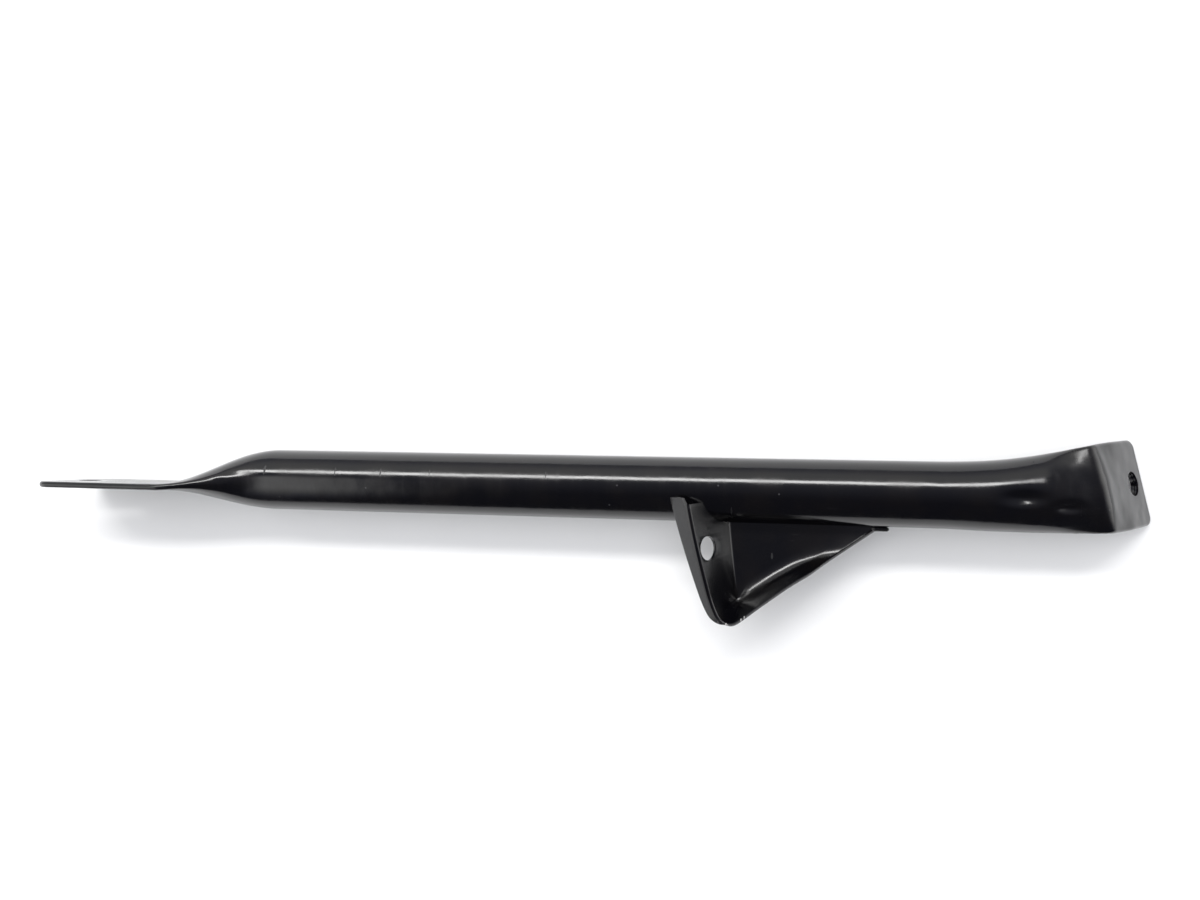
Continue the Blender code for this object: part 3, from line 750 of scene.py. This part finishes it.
class Graph:
    """Short way to wire a node tree."""

    def __init__(self, tree):
        self.tree = tree

    def feed(self, item, inputs):
        """Give a node its inputs: values, or sockets to link."""
        for key, value in inputs.items():
            if isinstance(value, bpy.types.NodeSocket):
                self.tree.links.new(value, item.inputs[key])
            else:
                item.inputs[key].default_value = value

    def add(self, kind, inputs=None, **settings):
        """Add a node, with its inputs and its properties."""
        item = self.tree.nodes.new(kind)
        for name, value in settings.items():
            setattr(item, name, value)
        self.feed(item, inputs or {})
        return item

    def math(self, operation, first, *others):
        """A number worked out from others, one after the other."""
        for value in others:
            node = self.add("ShaderNodeMath", {0: first, 1: value}, operation=operation)
            first = node.outputs[0]
        return first

    def greatest(self, *parts):
        """The greatest of several masks, each one times its strength."""
        return self.math("MAXIMUM", *[self.math("MULTIPLY", mask, strength)
                                      for mask, strength in parts])

    def ramp(self, value, low, high, to_low=0.0, to_high=1.0):
        """A smooth step between two values."""
        node = self.add("ShaderNodeMapRange", {"Value": value, "From Min": low, "From Max": high,
                                               "To Min": to_low, "To Max": to_high})
        node.interpolation_type = "SMOOTHSTEP"
        return node.outputs[0]

    def mix(self, factor, first, second):
        """A colour between two others. A Mix node's colour sockets are numbers 6 and 7."""
        node = self.add("ShaderNodeMix", {0: factor, 6: first, 7: second}, data_type="RGBA")
        return node.outputs[2]

    def noise(self, vector, scale, detail):
        """Fractal noise, from 0 to 1."""
        node = self.add("ShaderNodeTexNoise", {"Vector": vector, "Scale": scale,
                                               "Detail": detail})
        return node.outputs["Fac"]

    def stretched(self, vector, scale):
        """Coordinates scaled by a different amount on each axis."""
        node = self.add("ShaderNodeVectorMath", {0: vector, 1: scale}, operation="MULTIPLY")
        return node.outputs[0]

    def spot(self, vector, centre, reach, wobble):
        """One inside an uneven ellipsoid round a point on the tube's axes, and 0 outside it."""
        middle = tuple(place(centre))
        size = tuple(r * MM for r in reach)
        away = self.add("ShaderNodeVectorMath", {0: vector, 1: middle}, operation="SUBTRACT")
        scaled = self.add("ShaderNodeVectorMath", {0: away.outputs[0], 1: size}, operation="DIVIDE")
        length = self.add("ShaderNodeVectorMath", {0: scaled.outputs[0]}, operation="LENGTH")
        uneven = self.math("ADD", length.outputs["Value"], wobble)
        return self.ramp(uneven, 1.45, 1.15)

    def spots(self, vector, places, wobble):
        """The union of several spots."""
        return self.math("MAXIMUM", 0.0, *[self.spot(vector, centre, reach, wobble)
                                           for centre, reach in places])


# Chips down to bare metal: (centre, half sizes)
TUBE_CHIPS = (
    ((-171.5, -15.0, -3.0), (3.2, 1.6, 0.9)),
    ((-166.0, -14.6, -4.6), (0.9, 1.2, 0.5)),
    ((154.5, 19.0, -8.5), (0.5, 0.8, 1.6)),
)
TRAY_CHIPS = (
    ((-22.9, -60.1, 15.0), (0.22, 1.3, 1.0)),
    ((-19.3, -60.4, 15.0), (0.18, 1.3, 1.0)),
    ((-12.6, -58.2, 14.0), (0.22, 0.9, 1.0)),
    ((-11.2, -57.0, 14.0), (0.15, 0.8, 1.0)),
)
# Scuffs that dull the gloss: (centre, half sizes)
TUBE_SCUFFS = (
    ((-246.5, 5.4, 14.0), (0.45, 1.7, 4.0)),
    ((-209.2, 5.0, 14.0), (0.22, 1.4, 4.0)),
    ((-185.8, 5.0, 14.0), (0.25, 1.5, 4.0)),
    ((-161.0, 5.4, 14.0), (0.16, 1.2, 4.0)),
    ((-104.0, 5.4, 14.0), (0.18, 1.3, 4.0)),
    ((-17.8, -9.0, 12.0), (0.3, 1.6, 2.5)),
    ((111.0, 15.3, 6.0), (0.5, 0.5, 3.0)),
)
TRAY_SCUFFS = (
    ((-31.0, -18.8, 13.0), (2.6, 1.1, 2.0)),
    ((-26.3, -46.0, 5.5), (0.5, 2.2, 3.0)),
    ((-23.6, -46.6, 4.4), (0.45, 2.4, 3.0)),
    ((-20.6, -47.6, 3.4), (0.5, 2.0, 2.0)),
    ((-18.0, -50.4, 2.4), (1.6, 0.8, 1.6)),
    ((0.6, -30.1, -1.0), (0.35, 1.2, 1.0)),
)


# Noise scales, in waves per metre
PEEL_SCALE = 620.0
WAVE_SCALE = 95.0
BLOTCH_SCALE = 70.0
WOBBLE_SCALE = 1500.0                    # uneven borders of the chips and scuffs
HAIRLINE_SCALES = (60.0, 1500.0, 1500.0)
TICK_SCALES = (900.0, 14.0, 14.0)        # faint marks across the tube
DUST_SCALE = 260.0
CLOUD_SCALE = 14.0
GRAIN_SCALE = 420.0

# Linear colours
PAINT_BLACKS = ((0.0016, 0.0016, 0.0024, 1.0), (0.0026, 0.0022, 0.0024, 1.0))
WORN_GREY = (0.16, 0.16, 0.165, 1.0)
BARE_METAL = (0.42, 0.41, 0.40, 1.0)
FLOOR_GREYS = ((0.80, 0.80, 0.80, 1.0), (0.86, 0.86, 0.86, 1.0))

# How much each mark greys the paint, and how rough it leaves it
DUST_GREY = 0.2
EDGE_GREY = 0.35
SCRATCH_GREY, SCRATCH_ROUGH = 0.06, 0.25
SCUFF_GREY, SCUFF_ROUGH = 0.03, 0.5
CHIP_ROUGH = 0.5
SHOULDER_ROUGH = 0.09

# Waves in the paint: their strength on the straight tube, and what the dies add to it
WAVE_STRENGTH, PRESSED_STRENGTH = 0.12, 0.45
PAINT_IOR = 1.52


def new_material(name):
    """A new material with its graph, its shader and the point that is shaded."""
    material = bpy.data.materials.new(name)
    material.use_nodes = True
    graph = Graph(material.node_tree)
    shader = material.node_tree.nodes["Principled BSDF"]
    here = graph.add("ShaderNodeTexCoord").outputs["Object"]
    return material, graph, shader, here


def step_along(graph, here, start, full):
    """A smooth step along the tube, from 0 at start to 1 at full."""
    along = graph.add("ShaderNodeSeparateXYZ", {0: here}).outputs["X"]
    low, high = (place((x, 0.0, 0.0))[0] for x in (start, full))
    return graph.ramp(along, low, high)


def crushed_mask(graph, here):
    """One where the dies pressed the tube's ends, and 0 on the straight tube."""
    return graph.math("MAXIMUM", step_along(graph, here, -247.0, -272.0),
                      step_along(graph, here, 102.0, 132.0))


def shoulder_mask(graph, here):
    """One on the tab's shoulder, where the press dulled the steel, and 0 beside it."""
    return graph.math("MULTIPLY", step_along(graph, here, 120.0, 130.0),
                      step_along(graph, here, 139.0, 135.0))


def wear_marks(graph, here, chips, scuffs):
    """Masks of what has marked the paint, and the slow blotches that break them up."""
    blotch = graph.noise(here, BLOTCH_SCALE, 3.0)
    wobble = graph.ramp(graph.noise(here, WOBBLE_SCALE, 2.0), 0.3, 0.7, -0.25, 0.25)
    hairline = graph.noise(graph.stretched(here, HAIRLINE_SCALES), 1.0, 1.0)
    cells = graph.add("ShaderNodeTexVoronoi", {"Vector": here, "Scale": DUST_SCALE})
    speck = graph.ramp(cells.outputs["Distance"], 0.13, 0.07)
    chosen = graph.add("ShaderNodeSeparateColor", {0: cells.outputs["Color"]}).outputs[0]
    pointed = graph.add("ShaderNodeNewGeometry").outputs["Pointiness"]
    return {
        "blotch": blotch,
        "chip": graph.spots(here, chips, wobble),
        "scuff": graph.spots(here, scuffs, wobble),
        "scratch": graph.math("MULTIPLY", graph.ramp(hairline, 0.75, 0.775),
                              graph.ramp(blotch, 0.5, 0.6)),
        "dust": graph.math("MULTIPLY", speck, graph.ramp(chosen, 0.96, 0.965)),
        "edge": graph.math("MULTIPLY", graph.ramp(pointed, 0.56, 0.66),
                           graph.ramp(blotch, 0.52, 0.7)),
    }


def paint_colour(graph, marks):
    """Near-black paint, grey where it is worn, with bare metal in the chips."""
    body = graph.mix(graph.ramp(marks["blotch"], 0.35, 0.7), *PAINT_BLACKS)
    worn = graph.greatest((marks["dust"], DUST_GREY), (marks["edge"], EDGE_GREY),
                          (marks["scratch"], SCRATCH_GREY), (marks["scuff"], SCUFF_GREY))
    return graph.mix(marks["chip"], graph.mix(worn, body, WORN_GREY), BARE_METAL)


def paint_roughness(graph, here, marks, roughness, runs):
    """An uneven gloss, dull on the marks and the tab's shoulder, with ticks across the tube."""
    gloss = graph.ramp(marks["blotch"], 0.3, 0.75, roughness * 0.85, roughness * 1.3)
    marked = graph.greatest((gloss, 1.0), (marks["scuff"], SCUFF_ROUGH),
                            (marks["chip"], CHIP_ROUGH), (marks["scratch"], SCRATCH_ROUGH))
    drawn = graph.noise(graph.stretched(here, TICK_SCALES), 1.0, 2.0)
    ticks = graph.math("MULTIPLY", graph.ramp(drawn, 0.56, 0.68), runs)
    dulled = graph.math("MULTIPLY", shoulder_mask(graph, here), SHOULDER_ROUGH)
    return graph.math("ADD", marked, ticks, dulled)


def paint_relief(graph, here, chip):
    """Soft waves, stronger where the dies pressed, under a fine orange peel and the chips."""
    pressed = graph.math("MULTIPLY", crushed_mask(graph, here), PRESSED_STRENGTH)
    strength = graph.math("ADD", pressed, WAVE_STRENGTH)
    soft = graph.add("ShaderNodeBump", {"Height": graph.noise(here, WAVE_SCALE, 1.0),
                                        "Strength": strength, "Distance": 0.0008})
    fine = graph.add("ShaderNodeBump", {"Height": graph.noise(here, PEEL_SCALE, 2.0),
                                        "Strength": 0.5, "Distance": 0.00002,
                                        "Normal": soft.outputs[0]})
    pit = graph.add("ShaderNodeBump", {"Height": chip, "Strength": 0.6, "Distance": 0.00015,
                                       "Normal": fine.outputs[0]}, invert=True)
    return pit.outputs[0]


def paint(name, roughness, chips, scuffs, runs=0.0):
    """Gloss black paint on steel: orange peel, soft waves, dust, scuffs, worn edges and chips."""
    material, graph, shader, here = new_material(name)
    marks = wear_marks(graph, here, chips, scuffs)
    graph.feed(shader, {"Base Color": paint_colour(graph, marks),
                        "Roughness": paint_roughness(graph, here, marks, roughness, runs),
                        "Normal": paint_relief(graph, here, marks["chip"]),
                        "IOR": PAINT_IOR})
    return material


def floor_material():
    """Matt pale table top."""
    material, graph, shader, here = new_material("table_top")
    grain = graph.noise(here, GRAIN_SCALE, 3.0)
    bump = graph.add("ShaderNodeBump", {"Height": grain, "Strength": 0.15, "Distance": 0.0003})
    graph.feed(shader, {"Base Color": graph.mix(graph.noise(here, CLOUD_SCALE, 3.0), *FLOOR_GREYS),
                        "Normal": bump.outputs[0],
                        "Roughness": 0.65,
                        "Specular IOR Level": 0.2})
    return material


# --- Stage ------------------------------------------------------------------------------------

FLOOR_HALF = 4.0             # metres

# The lamp's line is in millimetres on the tube's axes. Its width is in metres.
LAMP_HEIGHT = 1000.0
LAMP_NEAR = (-984.0, 662.0)  # plan position of one point on the line
LAMP_SLOPE = 0.07
LAMP_X = (-990.0, 420.0)     # the line's two ends
LAMP_WIDTH = 0.18
LAMP_POWER = 14.0
LAMP_COLOUR = (1.0, 0.995, 0.985)

# The fill light, in metres
FILL_HEIGHT = 2.6
FILL_SIZE = 3.2
FILL_POWER = 46.0
FILL_COLOUR = (0.97, 0.985, 1.0)

# The surroundings. A direction whose product with WALL_SIDE is positive looks at the wall.
WALL_SIDE = (-0.29, 1.0, -0.81)
WALL_LIGHT = 1.0
ROOM_LIGHT = (0.07, 0.30)    # away from the lamp, and beside it
WINDOW_LIGHT = 1.9
HORIZON_LIGHT = 2.8
DIM_TINT = (0.80, 0.82, 1.05, 1.0)
BRIGHT_TINT = (1.0, 1.0, 1.0, 1.0)


def make_floor():
    """The pale floor that the stay lies on."""
    mesh = bpy.data.meshes.new("floor")
    corners = [(-FLOOR_HALF, -FLOOR_HALF, 0.0), (FLOOR_HALF, -FLOOR_HALF, 0.0),
               (FLOOR_HALF, FLOOR_HALF, 0.0), (-FLOOR_HALF, FLOOR_HALF, 0.0)]
    mesh.from_pydata(corners, [], [(0, 1, 2, 3)])
    mesh.materials.append(floor_material())
    floor = bpy.data.objects.new("floor", mesh)
    bpy.context.scene.collection.objects.link(floor)


def make_lamp():
    """A long soft lamp beside the tube: it makes the line on the tube and the shadow."""
    ends = [np.array([x, LAMP_NEAR[1] + LAMP_SLOPE * (x - LAMP_NEAR[0]), LAMP_HEIGHT])
            for x in LAMP_X]
    middle = Vector(place((ends[0] + ends[1]) / 2.0))
    along = Vector(ends[1] - ends[0]).normalized()
    light = bpy.data.lights.new("long_lamp", "AREA")
    light.shape = "RECTANGLE"
    light.size = float(np.linalg.norm(ends[1] - ends[0])) * MM
    light.size_y = LAMP_WIDTH
    light.energy = LAMP_POWER
    light.color = LAMP_COLOUR
    lamp = bpy.data.objects.new("long_lamp", light)
    away = (middle - along * middle.dot(along)).normalized()
    lamp.matrix_world = Matrix.Translation(middle) @ Matrix(
        (along, away.cross(along), away)).transposed().to_4x4()
    bpy.context.scene.collection.objects.link(lamp)


def make_fill():
    """A broad, dim overhead light: it lifts the shadow, and no reflection shows it."""
    light = bpy.data.lights.new("fill", "AREA")
    light.shape = "SQUARE"
    light.size = FILL_SIZE
    light.energy = FILL_POWER
    light.color = FILL_COLOUR
    fill = bpy.data.objects.new("fill", light)
    fill.location = (0.0, 0.0, FILL_HEIGHT)
    fill.visible_glossy = False
    bpy.context.scene.collection.objects.link(fill)


def wall_light(graph, direction, axes):
    """A pale wall on the lamp's side, dimmer near the floor and past the tube's right end."""
    side = graph.add("ShaderNodeVectorMath", {0: direction, 1: WALL_SIDE}, operation="DOT_PRODUCT")
    return graph.math("MULTIPLY",
                      graph.ramp(side.outputs["Value"], -0.03, 0.05, 0.0, WALL_LIGHT),
                      graph.ramp(axes["Z"], 0.0, 0.5, 0.45, 1.0),
                      graph.ramp(axes["X"], 0.25, 0.5, 1.0, 0.3))


def window_light(graph, axes):
    """A window past the tube's left end."""
    return graph.math("MULTIPLY",
                      graph.ramp(axes["X"], -0.36, -0.48),
                      graph.ramp(axes["Y"], -0.95, -0.35),
                      graph.ramp(axes["Y"], 0.35, 0.1),
                      WINDOW_LIGHT)


def horizon_light(graph, axes):
    """A glow low down past the tube's right end."""
    return graph.math("MULTIPLY",
                      graph.ramp(axes["X"], 0.3, 0.75),
                      graph.ramp(axes["Y"], -0.3, 0.05),
                      graph.ramp(axes["Z"], 0.78, 0.08, 0.0, HORIZON_LIGHT))


def make_world():
    """Soft surroundings: a pale wall, a window and a low glow in a dim room."""
    world = bpy.data.worlds.new("studio")
    world.use_nodes = True
    graph = Graph(world.node_tree)
    direction = graph.add("ShaderNodeTexCoord").outputs["Generated"]
    axes = graph.add("ShaderNodeSeparateXYZ", {0: direction}).outputs
    light = graph.math("MAXIMUM",
                       wall_light(graph, direction, axes),
                       graph.ramp(axes["Y"], -0.5, 0.5, *ROOM_LIGHT),
                       window_light(graph, axes),
                       horizon_light(graph, axes))
    graph.feed(world.node_tree.nodes["Background"],
               {"Color": graph.mix(light, DIM_TINT, BRIGHT_TINT), "Strength": light})
    bpy.context.scene.world = world


def make_camera():
    """The camera, looking down on the tube from close by."""
    data = bpy.data.cameras.new("camera")
    data.lens = CAMERA_LENS
    data.sensor_width = SENSOR_WIDTH
    data.clip_start = 0.01
    camera = bpy.data.objects.new("camera", data)
    right = CAMERA_RIGHT.normalized()
    up = (CAMERA_UP - right * CAMERA_UP.dot(right)).normalized()
    turn = Matrix((right, up, right.cross(up))).transposed().to_4x4()
    camera.matrix_world = Matrix.Translation(Vector(place(CAMERA_PLACE))) @ turn
    bpy.context.scene.collection.objects.link(camera)
    bpy.context.scene.camera = camera


def main():
    """Build every piece and the stage."""
    make_camera()
    make_floor()
    make_lamp()
    make_fill()
    make_world()
    bpy.context.scene.view_settings.view_transform = "Standard"
    make_tube(paint("tube_gloss", 0.15, TUBE_CHIPS, TUBE_SCUFFS, runs=0.035))
    make_tray(paint("tray_gloss", 0.17, TRAY_CHIPS, TRAY_SCUFFS))
    make_beads(paint("weld_gloss", 0.3, (), ()))


main()
